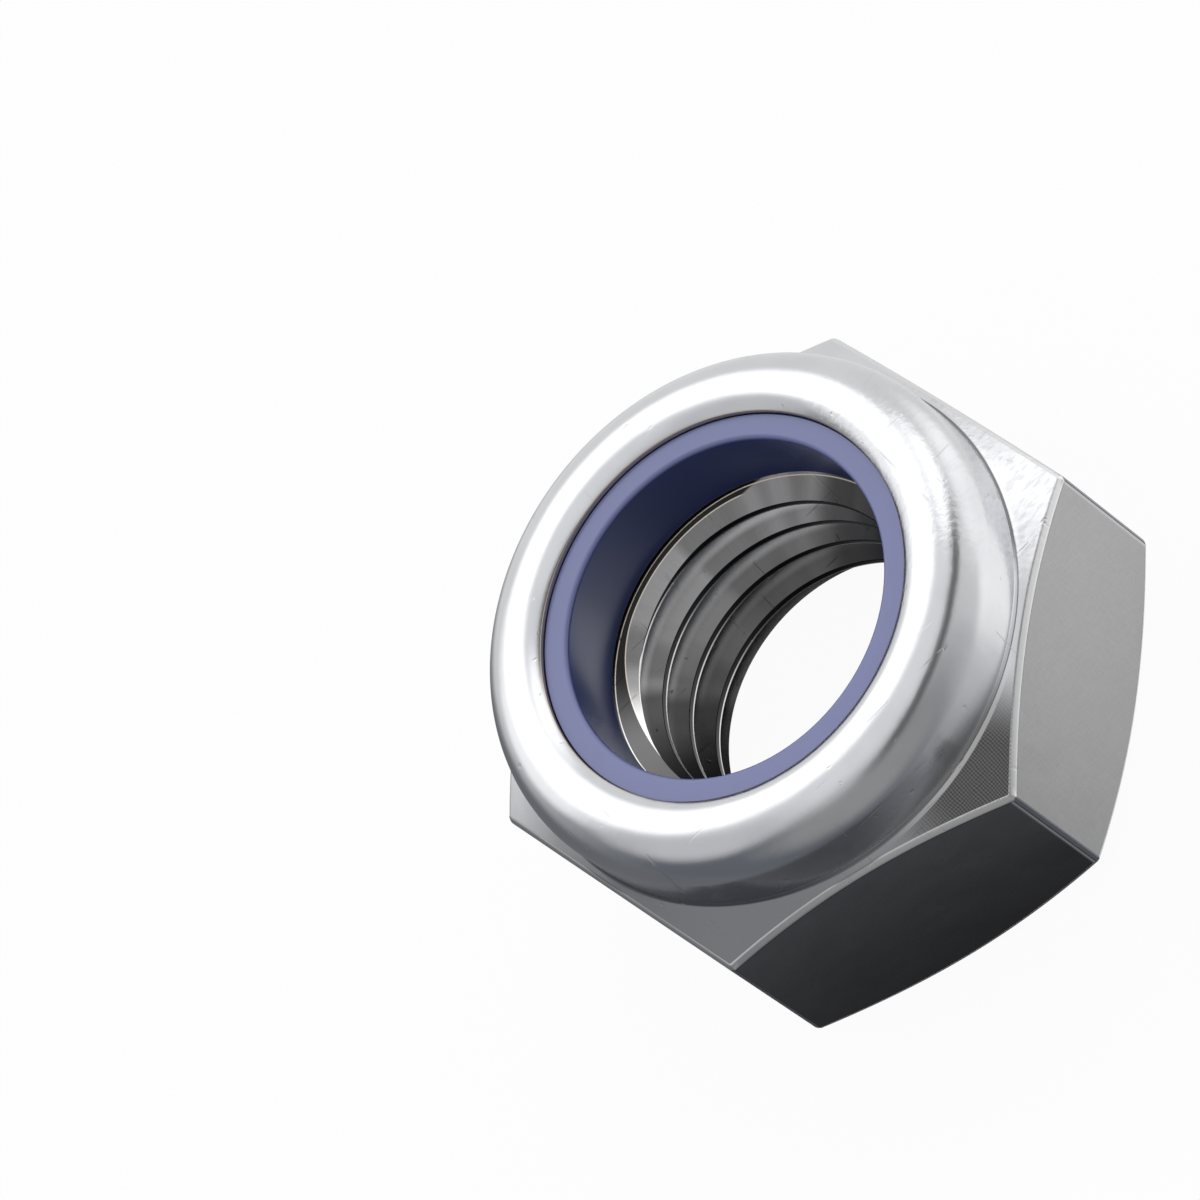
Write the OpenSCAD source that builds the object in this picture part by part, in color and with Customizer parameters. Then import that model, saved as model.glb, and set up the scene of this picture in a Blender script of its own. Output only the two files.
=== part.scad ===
// Lock nut with a nylon insert, M14 size, 22 mm across flats. Millimetres.
// Rest pose: bearing face on z = 0, thread axis on Z, collar and insert at the top.
// Two corners of the hexagon lie on the X axis and two flats face +Y and -Y.

/* [Thread] */
// Nominal thread diameter
thread_d = 14; // [13.6:0.05:14.2]
// Thread pitch, which sets the bore through the crests
pitch = 2; // [1.8:0.05:2.2]
// Diameter of the countersink at the bearing face
mouth_d = 14.7; // [14.3:0.1:15.4]
// Slope of the bearing face countersink, from the axis
mouth_slope = 45; // [40:1:60]
// Diameter of the lead-in at the seat floor
lead_d = 14.2; // [13.8:0.1:15]
// Slope of the lead-in, from the axis
lead_slope = 67; // [62:1:70]

/* [Hexagon] */
// Width across flats
across_flats = 22; // [21.6:0.1:22.6]
// Height at which the top chamfer meets the middle of each flat
flat_h = 9; // [8.6:0.1:9.4]
// Width across the six blunted corners
across_corners = 25.3; // [24.6:0.05:25.35]
// Diameter of the flat bearing ring
bearing_d = 20.9; // [19.6:0.1:21.3]
// Slope of both chamfers, from the bearing face
chamfer_slope = 30; // [26:1:33]

/* [Collar] */
// Height of the whole nut
height = 13; // [12.7:0.05:13.6]
// Outer diameter of the collar
collar_d = 21.1; // [20.8:0.05:21.3]
// Radius of the collar's outer shoulder
shoulder_r = 1.85; // [1.6:0.05:2.1]
// Radius of the lip where it rolls inwards
lip_r = 1.45; // [1.3:0.05:1.6]
// Diameter of the opening inside the lip
opening_d = 15.47; // [15.2:0.05:16]
// Thickness of the lip at its edge
lip_t = 0.48; // [0.35:0.01:0.6]
// Wall of the collar beside the insert
collar_wall = 1.05; // [0.9:0.05:1.3]
// Fillet where the collar rises from the chamfer
root_r = 0.25; // [0.15:0.01:0.35]

/* [Insert] */
// Bore of the insert
insert_bore_d = 13.46; // [13:0.02:13.7]
// Height of the insert from the seat floor to its top
insert_h = 3.5; // [3.2:0.05:3.9]
// Depth of the insert's top below the top of the lip
insert_recess = 0.57; // [0.5:0.01:0.65]
// Radius at the top of the insert's bore
bore_edge_r = 0.2; // [0.1:0.02:0.5]
// Gap between the insert and the lip's edge
lip_gap = 0.03; // [0.02:0.01:0.2]
// Clearance around the insert in its seat
insert_clear = 0.02; // [0.01:0.005:0.05]

/* [Hidden] */
$fn = 96;

// An internal thread keeps five eighths of its sharp height
sharp_h = pitch * sqrt(3) / 2;
minor_r = thread_d / 2 - 5 / 8 * sharp_h;
mouth_h = (mouth_d / 2 - minor_r) / tan(mouth_slope);
lead_h = (lead_d / 2 - minor_r) / tan(lead_slope);

insert_top = height - insert_recess;
seat_z = insert_top - insert_h;
insert_r = insert_bore_d / 2;

collar_r = collar_d / 2;
opening_r = opening_d / 2;
shoulder_x = collar_r - shoulder_r;
shoulder_z = height - shoulder_r;
seat_r = collar_r - collar_wall;
seat_corner_r = shoulder_r - collar_wall;
lip_centre_z = height - lip_r;
lip_edge_z = lip_centre_z + sqrt(pow(lip_r, 2) - pow(shoulder_x - opening_r, 2));
lip_under_z = lip_edge_z - lip_t;
step_r = opening_r - lip_gap;

half_flats = across_flats / 2;
corners_r = across_corners / 2;
beyond = 1;
core_r = collar_r - beyond / 2;
core_z = flat_h - beyond;

// Height of the top chamfer at radius r, and of the bottom chamfer
function top_cone(r) = flat_h + (half_flats - r) * tan(chamfer_slope);
function low_cone(r) = (r - bearing_d / 2) * tan(chamfer_slope);

// Underside of the lip at radius r, straight from the seat's corner to the lip's edge
seat_corner_z = shoulder_z + seat_corner_r;
under_fall = (lip_under_z - seat_corner_z) / (shoulder_x - opening_r);
function lip_under(r) = seat_corner_z + under_fall * (shoulder_x - r);

// The root fillet's circle dips just under the collar's wall and the chamfer, so it crosses both
root_gap = 0.98 * root_r;
root_x = collar_r + root_gap;
root_z = top_cone(collar_r) + root_gap * (1 - sin(chamfer_slope)) / cos(chamfer_slope);
root_end_x = root_x - root_gap * sin(chamfer_slope);

// Hexagon bar with sharp corners
module hexagon_bar() {
    sharp_r = half_flats / cos(30);
    linear_extrude(height = top_cone(core_r))
        polygon([for (i = [0 : 5]) [sharp_r * cos(60 * i), sharp_r * sin(60 * i)]]);
}

// Turned envelope: bearing ring, bottom chamfer, blunted corners, top chamfer
module chamfer_envelope() {
    rotate_extrude() polygon([
        [0, 0],
        [bearing_d / 2, 0],
        [corners_r, low_cone(corners_r)],
        [corners_r, top_cone(corners_r)],
        [core_r, top_cone(core_r)],
        [0, top_cone(core_r)]
    ]);
}

// Half section of the collar: wall, shoulder, rolled lip and root fillet
module collar_section() {
    translate([0, core_z]) square([collar_r, shoulder_z - core_z]);
    intersection() {
        translate([shoulder_x, shoulder_z]) circle(r = shoulder_r);
        translate([shoulder_x, shoulder_z]) square(shoulder_r + beyond);
    }
    intersection() {
        translate([shoulder_x, lip_centre_z]) circle(r = lip_r);
        translate([opening_r, shoulder_z]) square([shoulder_x - opening_r, shoulder_r + beyond]);
    }
    difference() {
        translate([core_r, core_z]) square([root_end_x - core_r, root_z - core_z]);
        translate([root_x, root_z]) circle(r = root_r);
    }
}

// Half section of all that is open inside: countersink, bore, lead-in, seat and opening
module cavity_section() {
    polygon([
        [0, -beyond],
        [mouth_d / 2 + beyond * tan(mouth_slope), -beyond],
        [minor_r, mouth_h],
        [minor_r, seat_z - lead_h],
        [lead_d / 2, seat_z],
        [lead_d / 2, seat_z + beyond],
        [0, seat_z + beyond]
    ]);
    translate([0, seat_z]) square([seat_r, shoulder_z - seat_z]);
    intersection() {
        translate([shoulder_x, shoulder_z]) circle(r = seat_corner_r);
        translate([shoulder_x, shoulder_z]) square(seat_corner_r + beyond);
    }
    polygon([
        [0, shoulder_z],
        [shoulder_x, shoulder_z],
        [shoulder_x, seat_corner_z],
        [opening_r, lip_under_z],
        [opening_r, height + beyond],
        [0, height + beyond]
    ]);
}

// Half section of the insert: it fills the seat and rises inside the lip
module insert_section() {
    corner_fill = seat_corner_r - insert_clear;
    translate([insert_r, seat_z]) square([seat_r - insert_clear - insert_r, shoulder_z - seat_z]);
    intersection() {
        translate([shoulder_x, shoulder_z]) circle(r = corner_fill);
        translate([shoulder_x, shoulder_z]) square(corner_fill + beyond);
    }
    polygon([
        [insert_r, shoulder_z],
        [shoulder_x, shoulder_z],
        [shoulder_x, lip_under(shoulder_x) - insert_clear],
        [step_r, lip_under(step_r) - insert_clear],
        [step_r, insert_top],
        [insert_r + bore_edge_r, insert_top],
        [insert_r + bore_edge_r, insert_top - bore_edge_r],
        [insert_r, insert_top - bore_edge_r]
    ]);
    intersection() {
        translate([insert_r + bore_edge_r, insert_top - bore_edge_r]) circle(r = bore_edge_r);
        translate([insert_r, insert_top - bore_edge_r]) square(bore_edge_r);
    }
}

// One-piece steel body: hexagon, collar, seat and bore
module nut_body() {
    color([0.74, 0.75, 0.77])
        difference() {
            union() {
                intersection() {
                    hexagon_bar();
                    chamfer_envelope();
                }
                rotate_extrude() collar_section();
            }
            rotate_extrude() cavity_section();
        }
}

// Moulded nylon ring, held in the seat by the rolled lip
module nylon_insert() {
    color([0.33, 0.36, 0.62]) rotate_extrude() insert_section();
}

nut_body();
nylon_insert();
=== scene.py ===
import bmesh
import bpy
import math
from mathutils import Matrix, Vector


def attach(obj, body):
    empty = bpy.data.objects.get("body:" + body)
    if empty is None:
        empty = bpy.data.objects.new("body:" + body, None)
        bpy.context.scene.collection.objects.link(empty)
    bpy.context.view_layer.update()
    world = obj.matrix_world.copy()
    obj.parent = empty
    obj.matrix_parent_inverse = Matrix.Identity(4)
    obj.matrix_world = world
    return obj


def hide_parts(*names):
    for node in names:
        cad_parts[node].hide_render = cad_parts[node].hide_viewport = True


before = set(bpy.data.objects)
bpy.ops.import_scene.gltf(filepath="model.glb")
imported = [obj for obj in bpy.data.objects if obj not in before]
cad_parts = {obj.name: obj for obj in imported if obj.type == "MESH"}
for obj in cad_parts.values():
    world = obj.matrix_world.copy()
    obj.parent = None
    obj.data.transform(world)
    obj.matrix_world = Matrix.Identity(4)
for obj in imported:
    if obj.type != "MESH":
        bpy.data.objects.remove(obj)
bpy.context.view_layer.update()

# The camera
# A long lens, close over the nut, looks down through the collar into the thread.
# It is rolled to the side, so the nut's axis leans to the upper left.
SENSOR_WIDTH = 36
LENS = 293.175
FARTHEST_SEEN = 20
CAMERA_PLACE = (-0.120161, -0.188206, 0.296200)
CAMERA_TURNS = (24.99344, 30.71012, -79.54186)

camera_data = bpy.data.cameras.new("camera")
camera_data.sensor_width = SENSOR_WIDTH
camera_data.lens = LENS
camera_data.clip_end = FARTHEST_SEEN
camera = bpy.data.objects.new("camera", camera_data)
bpy.context.scene.collection.objects.link(camera)
camera.location = CAMERA_PLACE
camera.rotation_euler = [math.radians(turn) for turn in CAMERA_TURNS]
bpy.context.scene.camera = camera

# The nut body
# One piece of carbon steel with a bright zinc coat: cold formed from hexagon bar, chamfered at
# both ends, bored for the ring and tapped. The thin rim of its collar is rolled in over the ring.
MM = 0.001

THREAD_PITCH = 2.0 * MM
THREAD_ROOT_R = 7.0 * MM
CREST_SHARE = 5 / 8
THREAD_CREST_R = THREAD_ROOT_R - CREST_SHARE * THREAD_PITCH * math.sin(math.radians(60))
TAPPING_ALLOWANCE = 0.1 * MM
MOUTH_R = 7.35 * MM
MOUTH_EDGE_RADIUS = 0.06 * MM
MOUTH_SLOPE = math.radians(45)
MOUTH_FALL = 1 / math.tan(MOUTH_SLOPE)
LEAD_R = 7.1 * MM
LEAD_EDGE_RADIUS = 0.05 * MM
LEAD_SLOPE = math.radians(67)
LEAD_FALL = 1 / math.tan(LEAD_SLOPE)

HEXAGON_SIDES = 6
SIDE_ANGLE = 360 / HEXAGON_SIDES
FLATS_R = 11.0 * MM
FLAT_TOP = 9.0 * MM
CORNERS_R = 12.65 * MM
BEARING_R = 10.45 * MM
BEARING_EDGE_RADIUS = 0.3 * MM
CHAMFER_SLOPE = math.radians(30)
CHAMFER_FALL = math.tan(CHAMFER_SLOPE)

NUT_TOP = 13.0 * MM
COLLAR_R = 10.55 * MM
SHOULDER_RADIUS = 1.85 * MM
LIP_RADIUS = 1.45 * MM
LIP_OPENING_R = 7.735 * MM
LIP_EDGE_RADIUS = 0.08 * MM
LIP_UNDER_Z = 12.152 * MM
ROOT_RADIUS = 0.245 * MM
SEAT_R = 9.5 * MM
SEAT_Z = 8.93 * MM
SEAT_CORNER_RADIUS = 0.8 * MM

TURNING_STEPS = 240
ARC_STEP = math.radians(6)
DOUBLES = 0.0005 * MM
SMOOTH_ANGLE = math.radians(35)


def rounded_outline(corners, arc_step=ARC_STEP):
    """Points of a closed line through the corners (radius, height, rounding)."""
    points = []
    for number, (across, up, rounding) in enumerate(corners):
        here = Vector((across, up))
        before = Vector(corners[number - 1][:2]) - here
        after = Vector(corners[(number + 1) % len(corners)][:2]) - here
        if rounding == 0:
            points.append(here)
            continue
        before.normalize()
        after.normalize()
        half_angle = before.angle(after) / 2
        centre = here + (before + after).normalized() * (rounding / math.sin(half_angle))
        reach = rounding / math.tan(half_angle)
        start = here + before * reach - centre
        turn = start.angle_signed(here + after * reach - centre)
        steps = max(2, math.ceil(abs(turn) / arc_step))
        for step in range(steps + 1):
            angle = -turn * step / steps
            swung_across = start.x * math.cos(angle) - start.y * math.sin(angle)
            swung_up = start.x * math.sin(angle) + start.y * math.cos(angle)
            points.append(centre + Vector((swung_across, swung_up)))
    return points


def draw_line(name, points):
    """A new object in edit mode: one point of a small plane, extruded along the line."""
    bpy.ops.object.select_all(action="DESELECT")
    bpy.ops.mesh.primitive_plane_add(size=MM)
    piece = bpy.context.object
    piece.name = name
    piece.data.name = name
    bpy.ops.object.mode_set(mode="EDIT")
    bpy.ops.mesh.select_mode(type="VERT")
    bpy.ops.mesh.select_all(action="SELECT")
    bpy.ops.mesh.merge(type="CENTER")
    bpy.ops.transform.translate(value=(points[0].x, 0, points[0].y))
    for here, there in zip(points, points[1:]):
        stroke = (there.x - here.x, 0, there.y - here.y)
        bpy.ops.mesh.extrude_region_move(TRANSFORM_OT_translate={"value": stroke})
    return piece


def merge_doubles():
    """Merges all doubled points, in edit mode."""
    bpy.ops.mesh.select_all(action="SELECT")
    bpy.ops.mesh.remove_doubles(threshold=DOUBLES)


def close_up():
    """Merges doubled points and turns every face outwards, in edit mode."""
    merge_doubles()
    bpy.ops.mesh.normals_make_consistent(inside=False)


def turn_on_lathe(name, corners):
    """A closed section, spun once round the thread's axis."""
    points = rounded_outline(corners)
    piece = draw_line(name, points + points[:1])
    merge_doubles()
    bpy.ops.mesh.select_all(action="SELECT")
    bpy.ops.mesh.spin(steps=TURNING_STEPS, angle=2 * math.pi, center=(0, 0, 0), axis=(0, 0, 1))
    close_up()
    bpy.ops.object.mode_set(mode="OBJECT")
    return piece


def cut_with(piece, tool, operation):
    """Joins two closed shapes by a Boolean and takes the tool away."""
    cut = piece.modifiers.new("cut", "BOOLEAN")
    cut.operation = operation
    cut.solver = "EXACT"
    cut.object = tool
    bpy.ops.object.select_all(action="DESELECT")
    bpy.context.view_layer.objects.active = piece
    piece.select_set(True)
    bpy.ops.object.modifier_apply(modifier=cut.name)
    bpy.data.objects.remove(tool)


low_chamfer_top = (CORNERS_R - BEARING_R) * CHAMFER_FALL
top_chamfer_low = FLAT_TOP - (CORNERS_R - FLATS_R) * CHAMFER_FALL
collar_root_z = FLAT_TOP + (FLATS_R - COLLAR_R) * CHAMFER_FALL
blank_bore_r = THREAD_CREST_R - TAPPING_ALLOWANCE
lead_low = SEAT_Z - (LEAD_R - blank_bore_r) * LEAD_FALL
mouth_top = (MOUTH_R - blank_bore_r) * MOUTH_FALL

# The rim comes down from the top at the slope lip_turn, before its edge turns to the ring
edge_centre_r = LIP_OPENING_R + LIP_EDGE_RADIUS
shoulder_r = COLLAR_R - SHOULDER_RADIUS
lip_turn = math.asin((shoulder_r - edge_centre_r) / (LIP_RADIUS - LIP_EDGE_RADIUS))
lip_corner_r = shoulder_r - LIP_RADIUS * math.tan(lip_turn / 2)
lip_edge_z = NUT_TOP - (lip_corner_r - LIP_OPENING_R) * math.tan(lip_turn)
seat_ceiling = NUT_TOP - SHOULDER_RADIUS + SEAT_CORNER_RADIUS

body = turn_on_lathe("steel_body", [
    (MOUTH_R, 0, MOUTH_EDGE_RADIUS),
    (BEARING_R, 0, BEARING_EDGE_RADIUS),
    (CORNERS_R, low_chamfer_top, 0),
    (CORNERS_R, top_chamfer_low, 0),
    (COLLAR_R, collar_root_z, ROOT_RADIUS),
    (COLLAR_R, NUT_TOP, SHOULDER_RADIUS),
    (lip_corner_r, NUT_TOP, LIP_RADIUS),
    (LIP_OPENING_R, lip_edge_z, LIP_EDGE_RADIUS),
    (LIP_OPENING_R, LIP_UNDER_Z, LIP_EDGE_RADIUS),
    (shoulder_r, seat_ceiling, 0),
    (SEAT_R, seat_ceiling, SEAT_CORNER_RADIUS),
    (SEAT_R, SEAT_Z, 0),
    (LEAD_R, SEAT_Z, LEAD_EDGE_RADIUS),
    (blank_bore_r, lead_low, 0),
    (blank_bore_r, mouth_top, 0),
])

bpy.ops.object.select_all(action="DESELECT")
bpy.ops.mesh.primitive_cylinder_add(
    vertices=HEXAGON_SIDES,
    radius=FLATS_R / math.cos(math.radians(SIDE_ANGLE / 2)),
    depth=2 * NUT_TOP,
    location=(0, 0, NUT_TOP / 2),
    rotation=(0, 0, math.radians(SIDE_ANGLE / 2)),
)
cut_with(body, bpy.context.object, "INTERSECT")

# The tap: one pitch of the thread's outline, screwed up the bore to the right, so it cuts the
# roots, the flanks and the narrow flat crests. Its crests lie where the photograph has them.
CREST_AT = math.radians(57.4)
CREST_HEIGHT = 0.25 * MM
CREST_WIDTH = THREAD_PITCH / 4
ROOT_WIDTH = THREAD_PITCH / 8
CREST_EDGE_RADIUS = 0.04 * MM
WORN_HEIGHT = 0.12 * MM
WORN_DEPTH = 0.025 * MM
WORN_EDGE_RADIUS = 0.02 * MM
ROOT_EDGE_RADIUS = 0.12 * MM
TAP_ARC_STEP = math.radians(12)
TAP_TURNS = 7
TAP_STEPS = 180
TAP_OUT_BELOW = -0.6 * MM
TAP_OUT_ABOVE = SEAT_Z + 0.3 * MM
CUT_ERROR = 0.00001 * MM

tap_low = -2 * THREAD_PITCH + CREST_HEIGHT - THREAD_PITCH * CREST_AT / (2 * math.pi)
crest_bottom = tap_low + THREAD_PITCH - WORN_HEIGHT
tap_corners = [
    (THREAD_CREST_R, tap_low, 0),
    (THREAD_CREST_R, tap_low + CREST_WIDTH / 2, CREST_EDGE_RADIUS),
    (THREAD_ROOT_R, tap_low + THREAD_PITCH / 2 - ROOT_WIDTH / 2, ROOT_EDGE_RADIUS),
    (THREAD_ROOT_R, tap_low + THREAD_PITCH / 2 + ROOT_WIDTH / 2, ROOT_EDGE_RADIUS),
    (THREAD_CREST_R + WORN_DEPTH, crest_bottom, WORN_EDGE_RADIUS),
    (THREAD_CREST_R, tap_low + THREAD_PITCH, 0),
]
tap = draw_line("tap", rounded_outline(tap_corners, TAP_ARC_STEP))
bpy.ops.object.mode_set(mode="OBJECT")
winding = tap.modifiers.new("winding", "SCREW")
winding.angle = 2 * math.pi
winding.steps = TAP_STEPS
winding.render_steps = TAP_STEPS
winding.iterations = TAP_TURNS
winding.screw_offset = THREAD_PITCH
winding.use_merge_vertices = True
winding.merge_threshold = DOUBLES
bpy.ops.object.modifier_apply(modifier=winding.name)
bpy.ops.object.mode_set(mode="EDIT")
close_up()
for end_z, below in ((TAP_OUT_BELOW, True), (TAP_OUT_ABOVE, False)):
    bpy.ops.mesh.select_all(action="SELECT")
    bpy.ops.mesh.bisect(
        plane_co=(0, 0, end_z),
        plane_no=(0, 0, 1),
        use_fill=True,
        clear_inner=below,
        clear_outer=not below,
        threshold=CUT_ERROR,
    )
close_up()
bpy.ops.object.mode_set(mode="OBJECT")
cut_with(body, tap, "DIFFERENCE")

# The chamfers' edges are rounded over by the forming and the coat, the six uprights less so
CHAMFER_EDGE = 0.24 * MM
UPRIGHT_EDGE = 0.03 * MM
EDGE_SEGMENTS = 3
EDGE_TURN = math.radians(20)
UPRIGHT = 0.05
OUTSIDE_R = FLATS_R - 0.001 * MM


def select_outer_edges(piece, chamfer_edges):
    """Selects the edges between flats and chamfers, or the upright ones beside the corners."""
    bpy.ops.mesh.select_all(action="DESELECT")
    shape = bmesh.from_edit_mesh(piece.data)
    for edge in shape.edges:
        middle = (edge.verts[0].co + edge.verts[1].co) / 2
        if len(edge.link_faces) != 2 or middle.xy.length < OUTSIDE_R:
            continue
        one, other = (face.normal for face in edge.link_faces)
        turned = one.angle(other) > EDGE_TURN
        both_upright = abs(one.z) < UPRIGHT and abs(other.z) < UPRIGHT
        edge.select = turned and both_upright != chamfer_edges
    bmesh.update_edit_mesh(piece.data)


bpy.context.view_layer.objects.active = body
bpy.ops.object.mode_set(mode="EDIT")
bpy.ops.mesh.select_mode(type="EDGE")
select_outer_edges(body, chamfer_edges=True)
bpy.ops.transform.edge_bevelweight(value=1)
select_outer_edges(body, chamfer_edges=False)
bpy.ops.transform.edge_bevelweight(value=UPRIGHT_EDGE / CHAMFER_EDGE)
bpy.ops.object.mode_set(mode="OBJECT")
rounding = body.modifiers.new("rounding", "BEVEL")
rounding.limit_method = "WEIGHT"
rounding.width = CHAMFER_EDGE
rounding.segments = EDGE_SEGMENTS
rounding.use_clamp_overlap = False
bpy.ops.object.modifier_apply(modifier=rounding.name)
bpy.ops.object.shade_smooth_by_angle(angle=SMOOTH_ANGLE)

# Flats, chamfers and cones keep their true direction right up to their rounded edges
CHAMFER_Z = math.cos(CHAMFER_SLOPE)
LEAD_Z = math.sin(LEAD_SLOPE)
MOUTH_Z = -math.sin(MOUTH_SLOPE)
STRAIGHT_SLOPES = (1, -1, CHAMFER_Z, -CHAMFER_Z, LEAD_Z, MOUTH_Z)
SLOPE_ERROR = 0.0008
LEVEL = 0.9999
SIDE_ERROR = 0.02
CORNER_LIKENESS = math.cos(math.radians(1))
EDGE_LIKENESS = math.cos(math.radians(28))


def true_direction(face_normal, face_centre, spot):
    """The exact direction of a flat or a straight turned face at a spot on it, or None."""
    for slope in STRAIGHT_SLOPES:
        outwards = 1 if face_normal.xy.dot(face_centre.xy) > 0 else -1
        if abs(face_normal.z - slope) > SLOPE_ERROR:
            continue
        if abs(slope) > LEVEL:
            return Vector((0, 0, slope))
        radial = spot.xy.normalized() * outwards * math.sqrt(1 - slope * slope)
        return Vector((radial.x, radial.y, slope))
    if abs(face_normal.z) < SLOPE_ERROR:
        turn = math.degrees(math.atan2(face_centre.y, face_centre.x))
        corner = math.radians(SIDE_ANGLE * round(turn / SIDE_ANGLE))
        corner_line = Vector((math.cos(corner), math.sin(corner), 0))
        if face_normal.dot(corner_line) > CORNER_LIKENESS:
            return corner_line
        side = math.degrees(face_normal.xy.angle_signed(Vector((0, 1))))
        off_side = abs(side - SIDE_ANGLE * round(side / SIDE_ANGLE))
        if off_side < SIDE_ERROR and face_centre.xy.length < CORNERS_R:
            return face_normal.copy()
    return None


mesh = body.data
at_vertex = {}
for face in mesh.polygons:
    for vertex in face.vertices:
        true = true_direction(face.normal, face.center, mesh.vertices[vertex].co)
        if true is not None:
            at_vertex.setdefault(vertex, []).append((face.area, true))
directions = []
for face in mesh.polygons:
    for corner in face.loop_indices:
        vertex = mesh.loops[corner].vertex_index
        own = true_direction(face.normal, face.center, mesh.vertices[vertex].co)
        usual = mesh.corner_normals[corner].vector.copy()
        found = sorted(at_vertex.get(vertex, []), key=lambda pair: -pair[0])
        likely = [pair[1] for pair in found if pair[1].dot(face.normal) > EDGE_LIKENESS]
        directions.append(own or (likely[0] if likely else usual))
mesh.normals_split_custom_set(directions)

# The finish: bright zinc, satin from the tumbling barrel, with what forming and turning left in it
steel = bpy.data.materials.new("zinc_steel_finish")
steel.use_nodes = True
nodes, links = steel.node_tree.nodes, steel.node_tree.links
metal = nodes["Principled BSDF"]
metal.inputs["Metallic"].default_value = 1


def join(value, socket):
    """Sets a socket to a plain value, or links it to what another node gives."""
    if isinstance(value, bpy.types.NodeSocket):
        links.new(value, socket)
    else:
        socket.default_value = value


def work_out(operation, *values):
    """One step of arithmetic."""
    step = nodes.new("ShaderNodeMath")
    step.operation = operation
    for value, socket in zip(values, step.inputs):
        join(value, socket)
    return step.outputs[0]


def plus(first, *others):
    """The sum of values."""
    for other in others:
        first = work_out("ADD", first, other)
    return first


def times(first, *others):
    """The product of values, which for masks is where they overlap."""
    for other in others:
        first = work_out("MULTIPLY", first, other)
    return first


def off(mask, share=1):
    """1 away from a mask, and less by that share on it."""
    return work_out("SUBTRACT", 1, times(mask, share))


def shift(operation, *values):
    """One step of arithmetic on places."""
    step = nodes.new("ShaderNodeVectorMath")
    step.operation = operation
    for value, socket in zip(values, step.inputs):
        join(value, socket)
    return step.outputs["Value" if operation in ("LENGTH", "DOT_PRODUCT") else "Vector"]


def rise(value, low, high):
    """0 below low and 1 above high, or the other way round where low is the greater."""
    step = nodes.new("ShaderNodeMapRange")
    step.interpolation_type = "SMOOTHSTEP"
    links.new(value, step.inputs["Value"])
    step.inputs["From Min"].default_value = low
    step.inputs["From Max"].default_value = high
    return step.outputs["Result"]


def past(value, limit, blur):
    """1 past a limit and 0 short of it, over a soft step that wide."""
    return rise(value, limit - blur / 2, limit + blur / 2)


def short_of(value, limit, blur):
    """1 short of a limit and 0 past it, over a soft step that wide."""
    return rise(value, limit + blur / 2, limit - blur / 2)


def mottle(where, size, detail=2):
    """Soft random spots of about that size."""
    spots = nodes.new("ShaderNodeTexNoise")
    spots.inputs["Scale"].default_value = 1 / size
    spots.inputs["Detail"].default_value = detail
    links.new(where, spots.inputs["Vector"])
    return spots.outputs["Fac"]


def tint(below, colour, where):
    """The colour laid over what is below it, as far as where says."""
    mix = nodes.new("ShaderNodeMix")
    mix.data_type = "RGBA"
    join(where, mix.inputs["Factor"])
    join(below, mix.inputs["A"])
    join(colour, mix.inputs["B"])
    return mix.outputs["Result"]


place = nodes.new("ShaderNodeTexCoord").outputs["Object"]
split = nodes.new("ShaderNodeSeparateXYZ")
links.new(place, split.inputs[0])
height = split.outputs["Z"]
level = shift("MULTIPLY", place, (1, 1, 0))
radius = shift("LENGTH", level)
bearing = shift("NORMALIZE", level)
turn_round = work_out("ARCTAN2", split.outputs["Y"], split.outputs["X"])


def turned_past(start, end, turn=turn_round):
    """Rises from 0 to 1 between two angles round the nut, in degrees."""
    return rise(turn, math.radians(start), math.radians(end))


def near(spot, full, fade):
    """1 within the distance full of a spot, falling softly to 0 at the distance fade."""
    return rise(shift("LENGTH", shift("SUBTRACT", place, spot)), fade, full)


def level_direction(degrees):
    """The level direction at an angle round the nut."""
    return (math.cos(math.radians(degrees)), math.sin(math.radians(degrees)), 0)


# Marks that run in or out, along the lip and the flanks, and marks that run round, from turning
STREAK_WIDTH = 0.09 * MM
STREAK_SPREAD = 8 * MM
STREAK_DRIFT = 0.12
TURNING_WIDTH = 0.07 * MM
TURNING_SPREAD = 0.4 * MM
BROAD_SIZE = 2.4 * MM
in_and_out = shift("ADD",
    shift("MULTIPLY", bearing, (STREAK_SPREAD, STREAK_SPREAD, 0)),
    shift("MULTIPLY", place, (STREAK_DRIFT, STREAK_DRIFT, STREAK_DRIFT)))
streaks = mottle(in_and_out, STREAK_WIDTH)
broad = mottle(in_and_out, BROAD_SIZE, detail=1)
profile = nodes.new("ShaderNodeCombineXYZ")
links.new(radius, profile.inputs["X"])
links.new(height, profile.inputs["Y"])
round_about = shift("MULTIPLY", bearing, (TURNING_SPREAD, TURNING_SPREAD, 0))
turned = mottle(shift("ADD", profile.outputs[0], round_about), TURNING_WIDTH)

# Fine hatching from the barrel, crossed two ways, and a few longer scratches
HATCH_WIDTH = 0.04 * MM
HATCH_STRETCH = 0.06
SCRATCH_WIDTH = 0.12 * MM
SCRATCH_STRETCH = 0.012
SCRATCH_CUT = (0.70, 0.75)
SCRATCHES_ASIDE = (0.02, 0, 0)
SCRATCH_PLACES_SIZE = 1.6 * MM
SCRATCH_PLACES_CUT = (0.52, 0.60)
DENTS_ASIDE = (0, 0.03, 0)
DENT_SIZE = 0.5 * MM
DENT_CUT = (0.68, 0.76)
PATCH_SIZE = 2.2 * MM
HATCH_PLACES_CUT = (0.42, 0.62)
ONE_WAY = (0.768, -0.632, -0.104)
OTHER_WAY = (-0.548, -0.564, -0.618)


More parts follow.
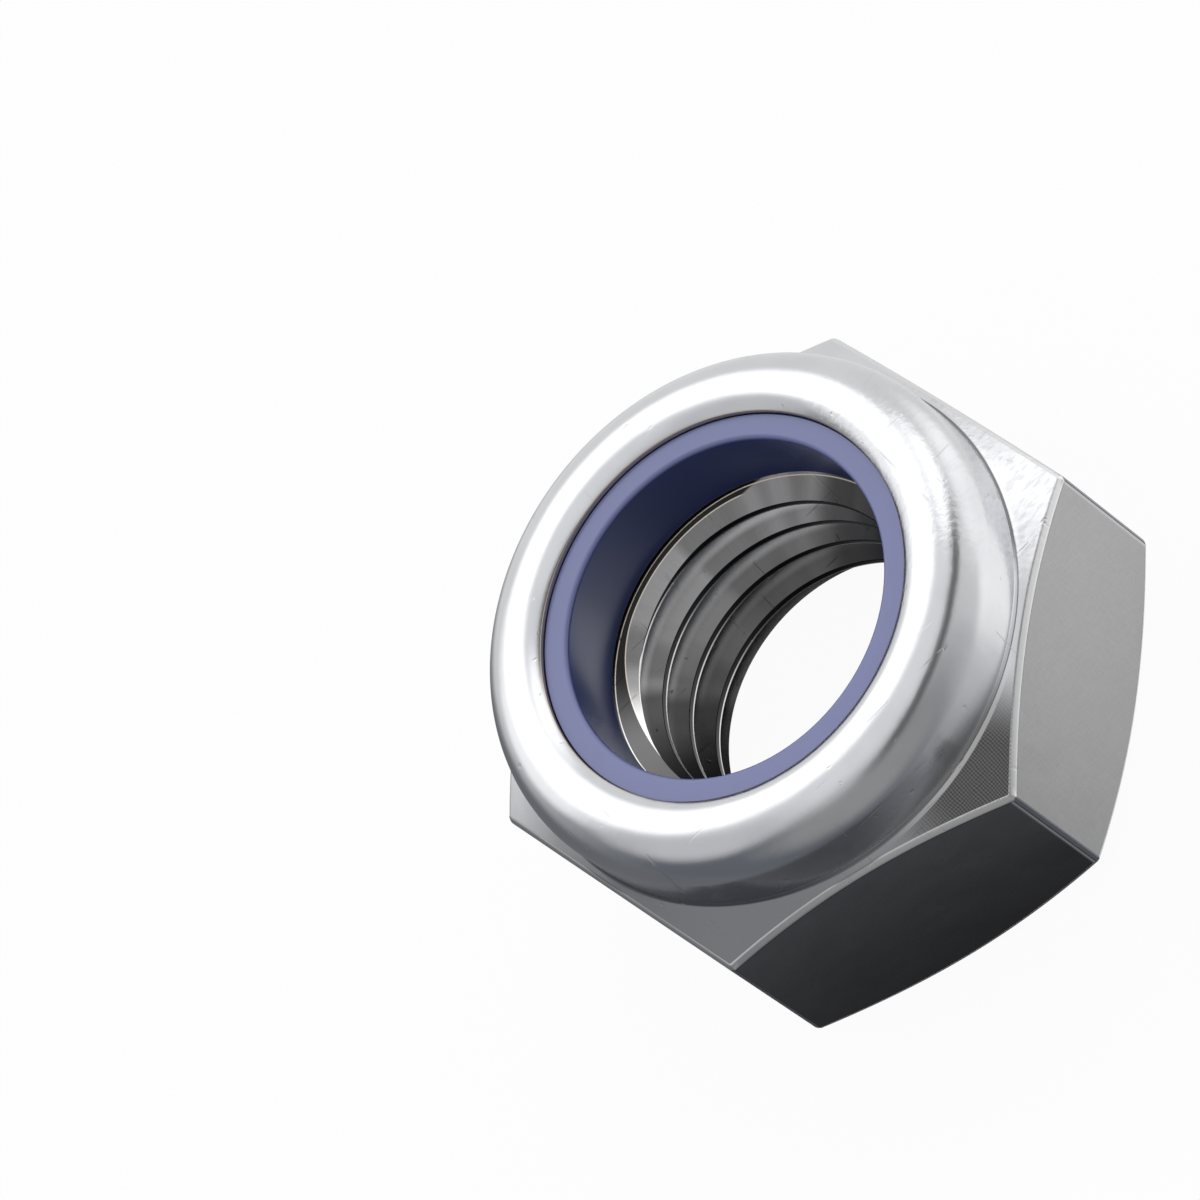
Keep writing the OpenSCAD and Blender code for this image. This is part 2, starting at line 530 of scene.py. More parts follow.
def brushed(across, width, stretch):
    """Fine lines over every face, narrow in the direction across and long in the others."""
    steps = nodes.new("ShaderNodeVectorMath")
    steps.operation = "SCALE"
    steps.inputs[0].default_value = across
    links.new(shift("DOT_PRODUCT", place, across), steps.inputs["Scale"])
    lay = shift("ADD", steps.outputs[0], shift("MULTIPLY", place, (stretch, stretch, stretch)))
    return mottle(lay, width, detail=1)


hatch = plus(
    brushed(ONE_WAY, HATCH_WIDTH, HATCH_STRETCH),
    brushed(OTHER_WAY, HATCH_WIDTH, HATCH_STRETCH))
patches = mottle(place, PATCH_SIZE, detail=3)
hatch_places = rise(patches, *HATCH_PLACES_CUT)
scratched = rise(brushed(ONE_WAY, SCRATCH_WIDTH, SCRATCH_STRETCH), *SCRATCH_CUT)
scratched_too = rise(brushed(OTHER_WAY, SCRATCH_WIDTH, SCRATCH_STRETCH), *SCRATCH_CUT)
scratch_spots = mottle(shift("ADD", place, SCRATCHES_ASIDE), SCRATCH_PLACES_SIZE)
scratch_places = rise(scratch_spots, *SCRATCH_PLACES_CUT)

# The top chamfer, and the fillet where the collar rises from it
FACE_DEPTH = 0.0225 * MM
FACE_BLUR = 0.015 * MM
COLLAR_SKIN_R = COLLAR_R + 0.007 * MM
SKIN_BLUR = 0.006 * MM
ROOT_END_R = COLLAR_R + 0.24 * MM
ROOT_END_BLUR = 0.04 * MM
ABOVE_FLATS_Z = FLAT_TOP - 0.05 * MM
ABOVE_FLATS_BLUR = 0.1 * MM
cone_gap = plus(
    work_out("SUBTRACT", height, FLAT_TOP + FLATS_R * CHAMFER_FALL),
    times(radius, CHAMFER_FALL))
from_cone = work_out("ABSOLUTE", cone_gap)
above_flats = past(height, ABOVE_FLATS_Z, ABOVE_FLATS_BLUR)
on_chamfer = times(
    short_of(from_cone, FACE_DEPTH, FACE_BLUR),
    past(radius, ROOT_END_R, ROOT_END_BLUR))
in_root = times(
    past(radius, COLLAR_SKIN_R, SKIN_BLUR),
    short_of(radius, ROOT_END_R, ROOT_END_BLUR),
    above_flats)

# Both are painted darker on one side: painted shade. At one corner, where the barrel's load rubbed
# hardest, the chamfer is hatched by fine crossed lines and painted darker still, the fillet less
# so: painted shade.
SHADED_SIDE = -172
SHADED_FULL = math.cos(math.radians(48))
SHADED_FADE = math.cos(math.radians(76))
RUBBED_AND_SHADED_CORNER = (-5.9 * MM, -10.2 * MM, 8.5 * MM)
RUBBED_FULL = 1.4 * MM
RUBBED_FADE = 4.6 * MM
RULE_SPACING = 0.11 * MM
RULE_WANDER = 11
RULE_WANDER_SIZE = 0.7 * MM
ONE_WAY_SHARE = 0.65


def ruled(across, spacing):
    """Fine parallel lines that far apart, a little unsteady, from 0 to 1."""
    wander = times(mottle(place, RULE_WANDER_SIZE), RULE_WANDER)
    count = times(shift("DOT_PRODUCT", place, across), 2 * math.pi / spacing)
    wave = work_out("SINE", plus(count, wander))
    return plus(times(wave, 0.5), 0.5)


ruling = plus(
    times(ruled(ONE_WAY, RULE_SPACING), ONE_WAY_SHARE),
    times(ruled(OTHER_WAY, RULE_SPACING), 1 - ONE_WAY_SHARE))
shaded_way = shift("DOT_PRODUCT", bearing, level_direction(SHADED_SIDE))
shaded_side = times(plus(on_chamfer, in_root), rise(shaded_way, SHADED_FADE, SHADED_FULL))
near_corner = near(RUBBED_AND_SHADED_CORNER, RUBBED_FULL, RUBBED_FADE)
# Painted shade: near that corner the chamfer is painted dark under its real hatch lines, the
# fillet less dark
shaded_hatched_corner = times(on_chamfer, near_corner)
shaded_root_band = times(in_root, near_corner)

# The sides keep the grey skin of the drawn bar, which takes few marks; the rounded edges above
# them are rubbed bright
FLAT_SKIN_R = FLATS_R - 0.009 * MM
CONE_SKIN = 0.007 * MM
ROUNDED_BELOW = -0.009 * MM
COLLAR_CLEAR_R = COLLAR_R + 0.325 * MM
COLLAR_CLEAR_BLUR = 0.05 * MM
TOP_EDGES_Z = FLAT_TOP - 1.75 * MM
TOP_EDGES_BLUR = 0.5 * MM
MARKS_KEPT_OFF = 0.85
FLATS_AT = (30, 90, 150)
side_gaps = [
    work_out("ABSOLUTE", shift("DOT_PRODUCT", place, level_direction(side)))
    for side in FLATS_AT
]
widest = work_out("MAXIMUM", side_gaps[0], work_out("MAXIMUM", side_gaps[1], side_gaps[2]))
on_flats = times(
    past(widest, FLAT_SKIN_R, SKIN_BLUR),
    past(from_cone, CONE_SKIN, SKIN_BLUR))
off_flats = off(on_flats, MARKS_KEPT_OFF)
scratches = times(work_out("MAXIMUM", scratched, scratched_too), scratch_places, off_flats)
dent_spots = mottle(shift("ADD", place, DENTS_ASIDE), DENT_SIZE, detail=3)
dents = times(rise(dent_spots, *DENT_CUT), off_flats)
rounded_edge = times(
    short_of(widest, FLAT_SKIN_R, SKIN_BLUR),
    past(radius, COLLAR_CLEAR_R, COLLAR_CLEAR_BLUR),
    short_of(cone_gap, ROUNDED_BELOW, SKIN_BLUR),
    past(height, TOP_EDGES_Z, TOP_EDGES_BLUR))

# The six blunt corners are dull strips, each with a worn band beside it
CORNER_SKIN_R = CORNERS_R - 0.017 * MM
CORNER_BLUR = 0.01 * MM
CORNER_BELOW_CONE = -0.075 * MM
CORNER_END_BLUR = 0.05 * MM
WEAR_BAND = (CORNERS_R - 0.085 * MM, CORNERS_R - 0.02 * MM)
WEAR_SIDE = (0, -0.04)
blunt_corner = times(
    past(radius, CORNER_SKIN_R, CORNER_BLUR),
    short_of(cone_gap, CORNER_BELOW_CONE, CORNER_END_BLUR))
wear_side = rise(work_out("SINE", times(turn_round, HEXAGON_SIDES)), *WEAR_SIDE)
beside_corner = times(rise(radius, *WEAR_BAND), wear_side, on_flats)

# Inside the bore the steel is duller and painted dark, darkest at one end: painted shade. The
# crests are painted darker still, painted shade, and the worn facets at their lower edges bright:
# painted highlight.
INSIDE_R = MOUTH_R - 0.135 * MM
INSIDE_BLUR = 0.03 * MM
WORN_PART = WORN_HEIGHT / THREAD_PITCH
WORN_EDGE_PART = 0.01
NEAR_CREST_R = THREAD_CREST_R + 0.0425 * MM
NEAR_CREST_BLUR = 0.015 * MM
CREST_SKIN_R = THREAD_CREST_R + 0.016 * MM
CREST_BLUR = 0.008 * MM
BELOW_LEAD_Z = SEAT_Z - 0.43 * MM
BELOW_LEAD_BLUR = 0.02 * MM
inside = short_of(radius, INSIDE_R, INSIDE_BLUR)
outside = off(inside)
along = work_out("SUBTRACT",
    work_out("DIVIDE", work_out("SUBTRACT", height, tap_low), THREAD_PITCH),
    work_out("DIVIDE", turn_round, 2 * math.pi))
pitch_part = work_out("FRACT", along)
# Painted highlight: a bright line on the worn facet at each crest's lower edge
worn_edge_highlight = times(
    short_of(radius, NEAR_CREST_R, NEAR_CREST_BLUR),
    rise(pitch_part, 1 - WORN_PART - WORN_EDGE_PART, 1 - WORN_PART))
# Painted shade: the thread's crests are painted near black
shaded_crest = times(
    short_of(radius, CREST_SKIN_R, CREST_BLUR),
    short_of(height, BELOW_LEAD_Z, BELOW_LEAD_BLUR))

# The lead-in has a thin line beside the ring and another where the thread runs out of it, which
# winds inwards, both painted highlights; between them it is painted dark, painted shade, with a
# painted highlight crescent at one end.
LEAD_DEPTH = 0.0225 * MM
LEAD_BLUR = 0.015 * MM
SEAT_EDGE = (6.765 * MM, 6.80 * MM)
SEAT_EDGE_BLUR = 0.012 * MM
SEAT_EDGE_Z = SEAT_Z - 0.905 * MM
SEAT_EDGE_END = 0.05 * MM
RUNOUT_R = 6.58 * MM
RUNOUT_WINDS_IN = 0.55 * MM
RUNOUT_TURNS = (76, 136)
RUNOUT_WIDTH = 0.02 * MM
RUNOUT_BLUR = 0.008 * MM
BEFORE_RUNOUT = (0.01 * MM, 0)
BEYOND_RUNOUT = (0, 0.02 * MM)
CRESCENT_TURNS = (94, 120)
LOW_END_TURNS = (96, 126)
lead_gap = work_out("SUBTRACT",
    work_out("SUBTRACT", height, SEAT_Z - LEAD_R * LEAD_FALL),
    times(radius, LEAD_FALL))
on_lead = times(inside, short_of(work_out("ABSOLUTE", lead_gap), LEAD_DEPTH, LEAD_BLUR))
# Painted highlight: a thin bright line beside the ring
seat_edge = times(
    past(radius, SEAT_EDGE[0], SEAT_EDGE_BLUR),
    short_of(radius, SEAT_EDGE[1], SEAT_EDGE_BLUR),
    past(height, SEAT_EDGE_Z, SEAT_EDGE_END))
runout_r = work_out("SUBTRACT", RUNOUT_R, times(turned_past(*RUNOUT_TURNS), RUNOUT_WINDS_IN))
from_runout = work_out("SUBTRACT", radius, runout_r)
on_runout = short_of(work_out("ABSOLUTE", from_runout), RUNOUT_WIDTH, RUNOUT_BLUR)
runout = times(on_runout, on_lead)
before_runout = times(rise(from_runout, *BEFORE_RUNOUT), on_lead)
crescent = times(before_runout, turned_past(*CRESCENT_TURNS))
beyond_runout = times(rise(from_runout, *BEYOND_RUNOUT), on_lead)
low_end = turned_past(*LOW_END_TURNS)

# Painted shade darkens the thread, most in its depth and along two sides
LIGHTER_FROM = 2.6 * MM
LIGHTER_TO = 6.4 * MM
LIGHTER_LEAST = 0.34
AHEAD_HEIGHT = 7.5
AHEAD_LEAN = math.radians(4.5)
AHEAD_TURNS = (3, -9)
AHEAD_DARK = 0.75
BEHIND_HEIGHT = 6
BEHIND_LEAN = math.radians(2.5)
BEHIND_TURNS = (92, 100)
BEHIND_DARK = 0.82
mm_up = work_out("DIVIDE", height, MM)
ahead = plus(turn_round, times(work_out("SUBTRACT", mm_up, AHEAD_HEIGHT), AHEAD_LEAN))
behind = plus(turn_round, times(work_out("SUBTRACT", mm_up, BEHIND_HEIGHT), -BEHIND_LEAN))
lighter_by_depth = plus(times(rise(height, LIGHTER_FROM, LIGHTER_TO), 1 - LIGHTER_LEAST), LIGHTER_LEAST)
lighter_ahead = off(turned_past(*AHEAD_TURNS, ahead), AHEAD_DARK)
lighter_behind = off(turned_past(*BEHIND_TURNS, behind), BEHIND_DARK)
painted_bore_shade = times(off(times(lighter_by_depth, lighter_ahead, lighter_behind)), inside)

# A thin dark line of painted shadow lies in the root of the collar too, on one side
LINE_IN = (COLLAR_R + 0.002 * MM, COLLAR_R + 0.012 * MM)
LINE_OUT = (COLLAR_R + 0.09 * MM, COLLAR_R + 0.07 * MM)
LINE_STARTS = (-82, -70)
LINE_ENDS = (-10, -24)
LINE_STRENGTH = 0.8
painted_root_shadow = times(
    rise(radius, *LINE_IN),
    rise(radius, *LINE_OUT),
    turned_past(*LINE_STARTS),
    turned_past(*LINE_ENDS),
    above_flats,
    LINE_STRENGTH)

# The barrel's load has beaten one side of the collar and the chamfer, and left short strokes there
BEATEN_PLACE = (6.2 * MM, -7.8 * MM, 11.5 * MM)
BEATEN_FULL = 3.6 * MM
BEATEN_FADE = 6.6 * MM
TUMBLED_SIZE = 0.30 * MM
TUMBLED_STRETCH = 0.6
STROKE_WIDTH = 0.2 * MM
STROKE_STRETCH = 0.3
STROKE_CUT = (0.52, 0.64)
STROKES_ON_COLLAR = 0.10
STROKES_ON_CHAMFER = 0.32
tumbled = mottle(shift("MULTIPLY", place, (1, 1, TUMBLED_STRETCH)), TUMBLED_SIZE)
beaten = near(BEATEN_PLACE, BEATEN_FULL, BEATEN_FADE)
strokes = rise(brushed(OTHER_WAY, STROKE_WIDTH, STROKE_STRETCH), *STROKE_CUT)
stroke_strength = plus(times(on_chamfer, STROKES_ON_CHAMFER), STROKES_ON_COLLAR)
strokes = times(strokes, beaten, off_flats, stroke_strength)

# The colours, laid one over another
ZINC = (0.72, 0.73, 0.75, 1)
DULL_ZINC = (0.60, 0.61, 0.63, 1)
STROKE_GREY = (0.50, 0.51, 0.52, 1)
BAR_STEEL = (0.335, 0.335, 0.335, 1)
BAR_SHEEN = (0.355, 0.355, 0.355, 1)
CORNER_STEEL = (0.24, 0.238, 0.275, 1)
# Painted shade: the darker tone of the chamfer and fillet on one side
SHADED_CHAMFER = (0.27, 0.275, 0.285, 1)
# Painted shade at the rubbed corner, with the real hatch lines running between these two tones
SHADED_HATCH_DARK = (0.04, 0.0395, 0.039, 1)
SHADED_HATCH_PALE = (0.19, 0.187, 0.185, 1)
SHADED_ROOT_STEEL = (0.42, 0.42, 0.42, 1)
# Painted shade: the steel inside the bore is painted dark, and darkest at one end
BORE_STEEL = (0.17, 0.17, 0.171, 1)
BORE_SHEEN = (0.34, 0.34, 0.342, 1)
# Painted light: lifts the dark, self-shadowed zone near the thread roots
PAINTED_ROOT_LIGHT = (0.78, 0.78, 0.78, 1)
CREST_SHADE = (0.025, 0.025, 0.025, 1)
# Painted shade: the dark of the thread's depth and two sides, and of the collar's root line
PAINTED_DARK_SHADE = (0.05, 0.05, 0.05, 1)
# Painted highlight: on the crests' edges, the lead-in crescent and one end of the lead-in lines
PAINTED_HIGHLIGHT = (0.93, 0.92, 0.90, 1)
RUBBED_EDGE = (0.76, 0.76, 0.76, 1)
SHADOWED = (0.025, 0.025, 0.025, 1)
GROOVE_END = (0.16, 0.16, 0.16, 1)
BORE_SHADED_END = (0.03, 0.03, 0.03, 1)
EDGE_STEEL = (0.66, 0.58, 0.49, 1)
DULL_PATCHES_CUT = (0.35, 0.75)
DULL_PATCHES = 0.4
DULL_SCRATCHES = 0.8
BAR_SHEEN_CUT = (0.8, 1.2)
RULING_SHARE = 0.75
PATCHES_SHARE = 0.2
BROAD_CUT = (0.4, 0.6)
BROAD_SHARE = 0.75
STREAKS_SHARE = 0.3
FLANK_ROOTS = (THREAD_ROOT_R - 0.65 * MM, THREAD_ROOT_R - 0.25 * MM)
BELOW_SEAT = (SEAT_Z - 0.73 * MM, SEAT_Z - 1.33 * MM)
LIP_EDGE_R = LIP_OPENING_R + 0.055 * MM
LIP_EDGE_BLUR = 0.03 * MM
LIP_EDGE_LOW = (NUT_TOP - 0.7 * MM, NUT_TOP - 0.6 * MM)

bar_skin = tint(BAR_STEEL, BAR_SHEEN, rise(hatch, *BAR_SHEEN_CUT))
hatch_shade = plus(times(ruling, RULING_SHARE), times(patches, PATCHES_SHARE))
shaded_hatched_skin = tint(SHADED_HATCH_DARK, SHADED_HATCH_PALE, hatch_shade)
bore_shade = plus(times(rise(broad, *BROAD_CUT), BROAD_SHARE), times(streaks, STREAKS_SHARE))
# Painted shade inside the bore, near black at one end round the nut
bore_skin = tint(tint(BORE_STEEL, BORE_SHEEN, bore_shade), BORE_SHADED_END, low_end)
# Painted light near the flank roots, lifting their shade
painted_light_in_roots = times(rise(radius, *FLANK_ROOTS), inside, rise(height, *BELOW_SEAT))
groove_skin = tint(SHADOWED, GROOVE_END, low_end)
highlight_line_skin = tint(EDGE_STEEL, PAINTED_HIGHLIGHT, low_end)
lip_edge = times(short_of(radius, LIP_EDGE_R, LIP_EDGE_BLUR), rise(height, *LIP_EDGE_LOW))

colour = tint(ZINC, DULL_ZINC, times(rise(patches, *DULL_PATCHES_CUT), DULL_PATCHES))
colour = tint(colour, DULL_ZINC, times(scratches, DULL_SCRATCHES))
colour = tint(colour, STROKE_GREY, strokes)
colour = tint(colour, bar_skin, on_flats)
# Painted shade on one side of the chamfer and fillet
colour = tint(colour, SHADED_CHAMFER, shaded_side)
# Painted shade at the rubbed corner: a dark chamfer under real hatch lines, and a less dark fillet
colour = tint(colour, shaded_hatched_skin, shaded_hatched_corner)
colour = tint(colour, SHADED_ROOT_STEEL, shaded_root_band)
colour = tint(colour, RUBBED_EDGE, rounded_edge)
colour = tint(colour, RUBBED_EDGE, beside_corner)
colour = tint(colour, CORNER_STEEL, blunt_corner)
# Painted shade inside the bore
colour = tint(colour, bore_skin, inside)
# Painted light in the flank roots
colour = tint(colour, PAINTED_ROOT_LIGHT, painted_light_in_roots)
# Painted shade in the thread's depth and along two sides
colour = tint(colour, PAINTED_DARK_SHADE, painted_bore_shade)
# Painted shadow in the root of the collar
colour = tint(colour, PAINTED_DARK_SHADE, painted_root_shadow)
# Painted shade on the crests
colour = tint(colour, CREST_SHADE, shaded_crest)
# Painted shade between the lead-in lines
colour = tint(colour, groove_skin, beyond_runout)
# Painted highlight: the lead-in lines
colour = tint(colour, highlight_line_skin, work_out("MAXIMUM", seat_edge, runout))
# Painted highlight: the crescent at one end of the runout
colour = tint(colour, PAINTED_HIGHLIGHT, crescent)
# Painted highlight on the crests' worn lower edges
colour = tint(colour, PAINTED_HIGHLIGHT, worn_edge_highlight)
colour = tint(colour, EDGE_STEEL, lip_edge)
links.new(colour, metal.inputs["Base Color"])

# How dull each part is
SATIN = 0.16
PATCHES_DULLER = 0.06
HEXAGON_DULLER = 0.08
BORE_DULLER = 0.08
SCRATCHES_DULLER = 0.12
WALL_DULLER = 0.16
WEAR_DULLER = 0.4
HEXAGON_FROM = (COLLAR_R + 0.1 * MM, COLLAR_R + 0.3 * MM)
DULL_WALL = (NUT_TOP - 2.1 * MM, NUT_TOP - 3.1 * MM)
DULL_WALL_FULL = 2.4 * MM
DULL_WALL_FADE = 5.6 * MM
WALL_SKIN_R = COLLAR_R + 0.015 * MM
WALL_SKIN_BLUR = 0.01 * MM
dull_wall = times(
    rise(height, *DULL_WALL),
    near(RUBBED_AND_SHADED_CORNER, DULL_WALL_FULL, DULL_WALL_FADE),
    short_of(radius, WALL_SKIN_R, WALL_SKIN_BLUR))
roughness = plus(
    times(patches, PATCHES_DULLER),
    SATIN,
    times(rise(radius, *HEXAGON_FROM), HEXAGON_DULLER),
    times(inside, BORE_DULLER),
    times(scratches, SCRATCHES_DULLER),
    times(dull_wall, WALL_DULLER),
    times(beside_corner, WEAR_DULLER))
links.new(roughness, metal.inputs["Roughness"])

# How deep the marks are, as shares of the relief's depth. Each flat bulges a little too.
RELIEF_DEPTH = 0.003 * MM
STREAK_DEPTH = 0.25
TURNING_DEPTH = 0.3
WAVE_SIZE = 1.9 * MM
WAVE_DEPTH = 7
TUMBLED_DEPTH = 0.7
BEATEN_DEPTH = 4
HATCH_DEPTH = 0.3
SCRATCH_DEPTH = 0.9
DENT_DEPTH = 2.5
FLAT_MIDDLE_Z = 4.6 * MM
SIDE_CROWN = 9 / RELIEF_DEPTH
ON_LIP = (NUT_TOP - 0.9 * MM, NUT_TOP - 0.3 * MM)
streaked = work_out("MAXIMUM", times(rise(height, *ON_LIP), hatch_places), inside)
from_middle = work_out("SUBTRACT", height, FLAT_MIDDLE_Z)
crown = times(plus(work_out("POWER", radius, 2), work_out("POWER", from_middle, 2)), SIDE_CROWN)
tumbled_depth = plus(times(beaten, BEATEN_DEPTH), TUMBLED_DEPTH)
depth = plus(
    times(streaks, streaked, STREAK_DEPTH),
    times(turned, outside, TURNING_DEPTH),
    times(mottle(place, WAVE_SIZE, detail=1), WAVE_DEPTH),
    times(tumbled, tumbled_depth, off_flats, outside),
    times(crown, on_flats, -1),
    times(hatch, hatch_places, off_flats, HATCH_DEPTH),
    times(ruling, shaded_hatched_corner),
    times(scratches, -SCRATCH_DEPTH),
    times(dents, -DENT_DEPTH))
relief = nodes.new("ShaderNodeBump")
relief.inputs["Distance"].default_value = RELIEF_DEPTH
links.new(depth, relief.inputs["Height"])
links.new(relief.outputs["Normal"], metal.inputs["Normal"])
body.data.materials.append(steel)

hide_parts("nut_body")
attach(body, "root")

# The nylon ring
# A moulded ring of blue nylon: its thick outer part is trapped in the seat by the rolled rim and
# its inner part stands up a little inside the rim, with a softly rounded bore.
RING_BORE_R = 6.73 * MM
RING_TOP = 12.43 * MM
RING_CLEARANCE = 0.02 * MM
RING_STEP_R = 7.705 * MM
RING_BORE_EDGE = 0.2 * MM
RING_LOW_EDGE = 0.22 * MM
RING_OUTER_EDGE = 0.1 * MM
RING_STEP_EDGE = 0.03 * MM

ring_outer_r = SEAT_R - RING_CLEARANCE
ring_shoulder_z = seat_ceiling - RING_CLEARANCE
under_fall = (seat_ceiling - LIP_UNDER_Z) / (shoulder_r - LIP_OPENING_R)
ring_step_z = ring_shoulder_z - (shoulder_r - RING_STEP_R) * under_fall

ring = turn_on_lathe("nylon_ring", [
    (RING_BORE_R, SEAT_Z, RING_LOW_EDGE),
    (ring_outer_r, SEAT_Z, RING_OUTER_EDGE),
    (ring_outer_r, ring_shoulder_z, SEAT_CORNER_RADIUS - RING_CLEARANCE),
    (shoulder_r, ring_shoulder_z, 0),
    (RING_STEP_R, ring_step_z, 0),
    (RING_STEP_R, RING_TOP, RING_STEP_EDGE),
    (RING_BORE_R, RING_TOP, RING_BORE_EDGE),
])
bpy.ops.object.shade_smooth_by_angle(angle=SMOOTH_ANGLE)

# The finish: satin blue nylon with the faint grain and flow of its mould; its bore is painted
# darker: painted shade
BLUE = (0.158, 0.180, 0.378, 1)
PALE_BLUE = (0.168, 0.190, 0.392, 1)
SHADED_BLUE = (0.042, 0.062, 0.190, 1)
NYLON_SPECULAR = 0.7
NYLON_SATIN = 0.24
FLOW_DULLER = 0.04
FLOW_SIZE = 1.5 * MM
GRAIN_SIZE = 0.09 * MM
GRAIN_DEPTH = 0.001 * MM
BORE_WALL_R = (RING_BORE_R + 0.10 * MM, RING_BORE_R + 0.02 * MM)
BORE_WALL_TOP = (RING_TOP - 0.05 * MM, RING_TOP - 0.2 * MM)

nylon = bpy.data.materials.new("blue_nylon")
nylon.use_nodes = True
nodes, links = nylon.node_tree.nodes, nylon.node_tree.links
plastic = nodes["Principled BSDF"]
plastic.inputs["Specular IOR Level"].default_value = NYLON_SPECULAR
place = nodes.new("ShaderNodeTexCoord").outputs["Object"]
split = nodes.new("ShaderNodeSeparateXYZ")
links.new(place, split.inputs[0])
radius = shift("LENGTH", shift("MULTIPLY", place, (1, 1, 0)))
flow = mottle(place, FLOW_SIZE, detail=3)
grain = mottle(place, GRAIN_SIZE)
shaded_bore_wall = times(rise(radius, *BORE_WALL_R), rise(split.outputs["Z"], *BORE_WALL_TOP))
# Painted shade: the ring's bore wall is a darker blue
colour = tint(tint(BLUE, PALE_BLUE, flow), SHADED_BLUE, shaded_bore_wall)
links.new(colour, plastic.inputs["Base Color"])
links.new(plus(times(flow, FLOW_DULLER), NYLON_SATIN), plastic.inputs["Roughness"])
relief = nodes.new("ShaderNodeBump")
relief.inputs["Distance"].default_value = GRAIN_DEPTH
links.new(grain, relief.inputs["Height"])
links.new(relief.outputs["Normal"], plastic.inputs["Normal"])
ring.data.materials.append(nylon)

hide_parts("nylon_insert")
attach(ring, "root")

# The floor
# A plain white sheet just under the nut. The camera sees it nearly white, with the nut's shadow;
# metal mirrors the room beyond it, and from below it is out of the way.
FLOOR_SIZE = 4
FLOOR_GAP = 0.1 * MM
FLOOR_COLOUR = (0.86, 0.86, 0.86, 1)
FLOOR_WHITE = 0.95

bpy.ops.object.select_all(action="DESELECT")
bpy.ops.mesh.primitive_plane_add(size=FLOOR_SIZE, location=(0, 0, -FLOOR_GAP))
floor = bpy.context.object
floor.name = "floor"
bpy.ops.object.transform_apply(location=True)
paper = bpy.data.materials.new("white_paper")
paper.use_nodes = True
nodes, links = paper.node_tree.nodes, paper.node_tree.links
matt = nodes["Principled BSDF"]
matt.inputs["Base Color"].default_value = FLOOR_COLOUR
matt.inputs["Roughness"].default_value = 1
matt.inputs["Specular IOR Level"].default_value = 0
white = nodes.new("ShaderNodeEmission")
white.inputs["Strength"].default_value = 1
clear = nodes.new("ShaderNodeBsdfTransparent")
ray = nodes.new("ShaderNodeLightPath")
side = nodes.new("ShaderNodeNewGeometry")


def lay_over(below, above, share):
    """One surface over another, by that share."""
    mix = nodes.new("ShaderNodeMixShader")
    links.new(share, mix.inputs["Fac"])
    links.new(below.outputs[0], mix.inputs[1])
    links.new(above.outputs[0], mix.inputs[2])
    return mix


seen_floor = lay_over(matt, white, times(ray.outputs["Is Camera Ray"], FLOOR_WHITE))
out_of_the_way = work_out("MAXIMUM", ray.outputs["Is Glossy Ray"], side.outputs["Backfacing"])
sheet = lay_over(seen_floor, clear, out_of_the_way)
links.new(sheet.outputs[0], nodes["Material Output"].inputs["Surface"])
floor.data.materials.append(paper)

# The light
# A plain studio: one broad soft light high behind the nut, a pale wall on its right, and a darker
# room on its left and behind the camera.
DARK_ROOM = (0.14, 0.15, 0.17, 1)
PALE_WALL = (0.84, 0.84, 0.84, 1)
CAMERA_SIDE = (0.34, 0.34, 0.34, 1)
CEILING = (0.88, 0.88, 0.89, 1)
UP_LEFT = (0.64, 0.64, 0.65, 1)
RIGHT_CARD = (1.25, 1.25, 1.25, 1)
LOW_CARD = (1.15, 1.15, 1.15, 1)
LOW_LEFT = (0.16, 0.165, 0.18, 1)
LOW_DARK = (0.03, 0.03, 0.031, 1)
SIDE_LIGHT = (1.6, 1.6, 1.6, 1)
BACK_LIGHT = (1.2, 1.2, 1.2, 1)
DARK_BAR = (0.11, 0.11, 0.11, 1)
BAR_AXIS = (0, 0.69, 0.72)
BAR_FULL = math.sin(math.radians(3))
BAR_FADE = math.sin(math.radians(13))
SOFT_LIGHT = (1.6, 1.6, 1.6, 1)
WHITE = (1, 1, 1, 1)

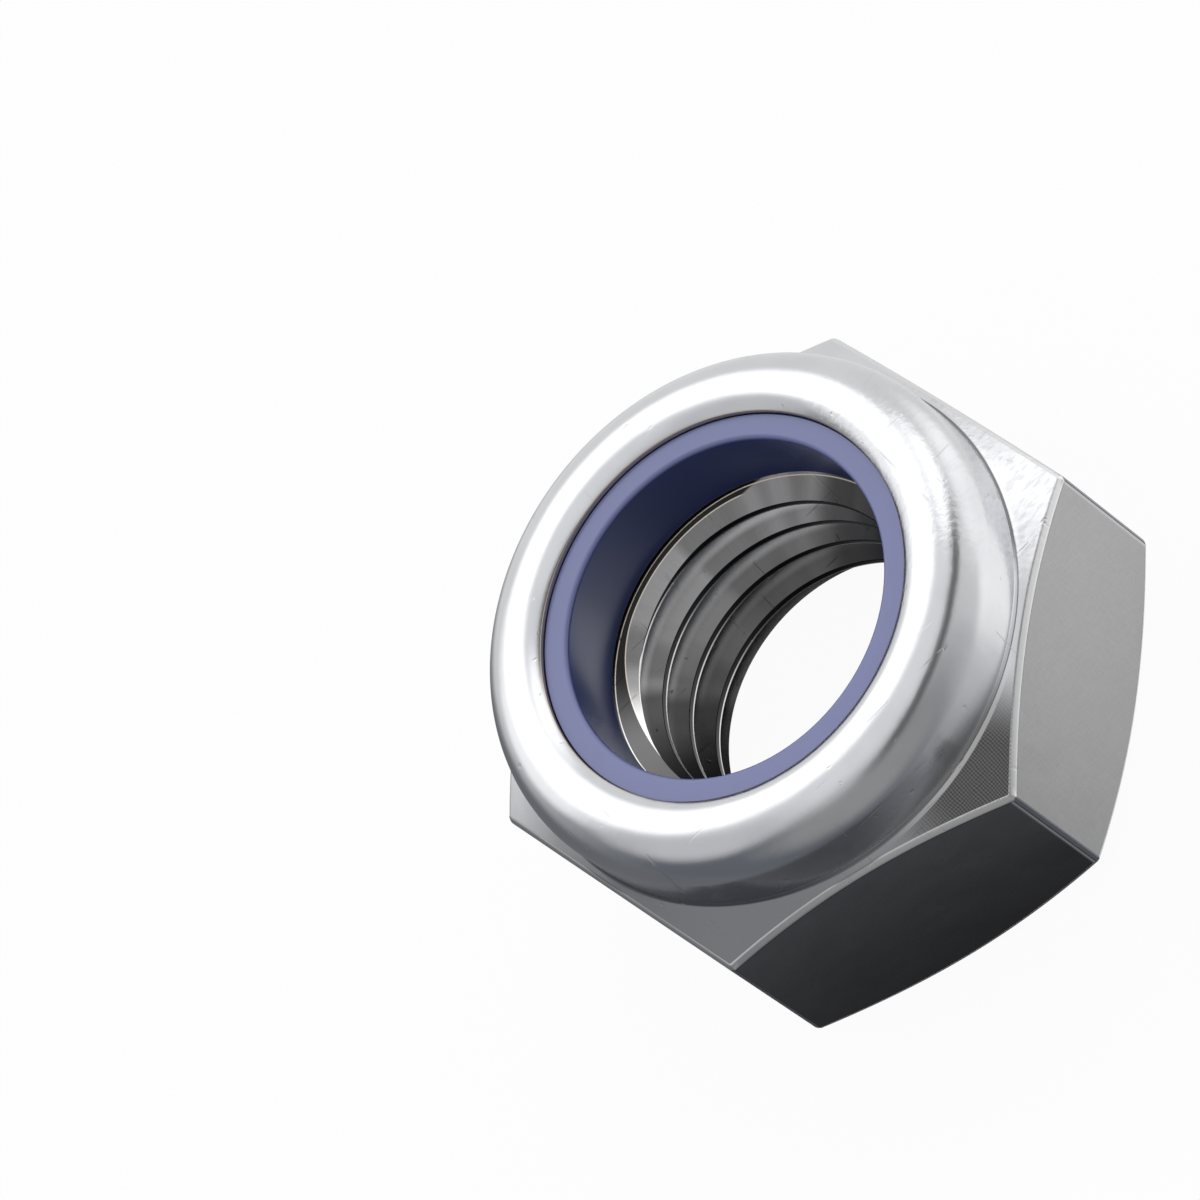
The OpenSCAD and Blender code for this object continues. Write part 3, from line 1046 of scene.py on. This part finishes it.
world = bpy.data.worlds.new("studio")
bpy.context.scene.world = world
world.use_nodes = True
nodes, links = world.node_tree.nodes, world.node_tree.links
towards = nodes.new("ShaderNodeTexCoord").outputs["Generated"]
ray = nodes.new("ShaderNodeLightPath")
room = nodes["Background"]


def patch(azimuth, elevation, full, fade):
    """1 within the angle full of that direction, falling softly to 0 at the angle fade."""
    turn, climb = math.radians(azimuth), math.radians(elevation)
    level_part = math.cos(climb)
    aim = (math.cos(turn) * level_part, math.sin(turn) * level_part, math.sin(climb))
    nearness = shift("DOT_PRODUCT", towards, aim)
    return rise(nearness, math.cos(math.radians(fade)), math.cos(math.radians(full)))


from_bar = work_out("ABSOLUTE", shift("DOT_PRODUCT", towards, BAR_AXIS))
on_bar = rise(from_bar, BAR_FADE, BAR_FULL)
bar_reach = patch(azimuth=-86, elevation=40, full=26, fade=52)
colour = tint(DARK_ROOM, PALE_WALL, patch(azimuth=5, elevation=-5, full=55, fade=140))
colour = tint(colour, CAMERA_SIDE, patch(azimuth=-142, elevation=8, full=22, fade=52))
colour = tint(colour, CEILING, patch(azimuth=0, elevation=90, full=16, fade=66))
colour = tint(colour, UP_LEFT, patch(azimuth=142, elevation=42, full=10, fade=34))
colour = tint(colour, RIGHT_CARD, patch(azimuth=-28, elevation=-8, full=8, fade=34))
colour = tint(colour, LOW_CARD, patch(azimuth=-44, elevation=-36, full=12, fade=30))
colour = tint(colour, LOW_LEFT, patch(azimuth=108, elevation=-42, full=25, fade=48))
colour = tint(colour, LOW_DARK, patch(azimuth=-178, elevation=-72, full=12, fade=34))
colour = tint(colour, SIDE_LIGHT, patch(azimuth=-14, elevation=40, full=4, fade=22))
colour = tint(colour, BACK_LIGHT, patch(azimuth=86, elevation=28, full=8, fade=24))
colour = tint(colour, DARK_BAR, times(on_bar, bar_reach))
colour = tint(colour, SOFT_LIGHT, patch(azimuth=52, elevation=50, full=20, fade=35))
colour = tint(colour, WHITE, ray.outputs["Is Camera Ray"])
links.new(colour, room.inputs["Color"])
room.inputs["Strength"].default_value = 1

bpy.context.scene.view_settings.view_transform = "Standard"
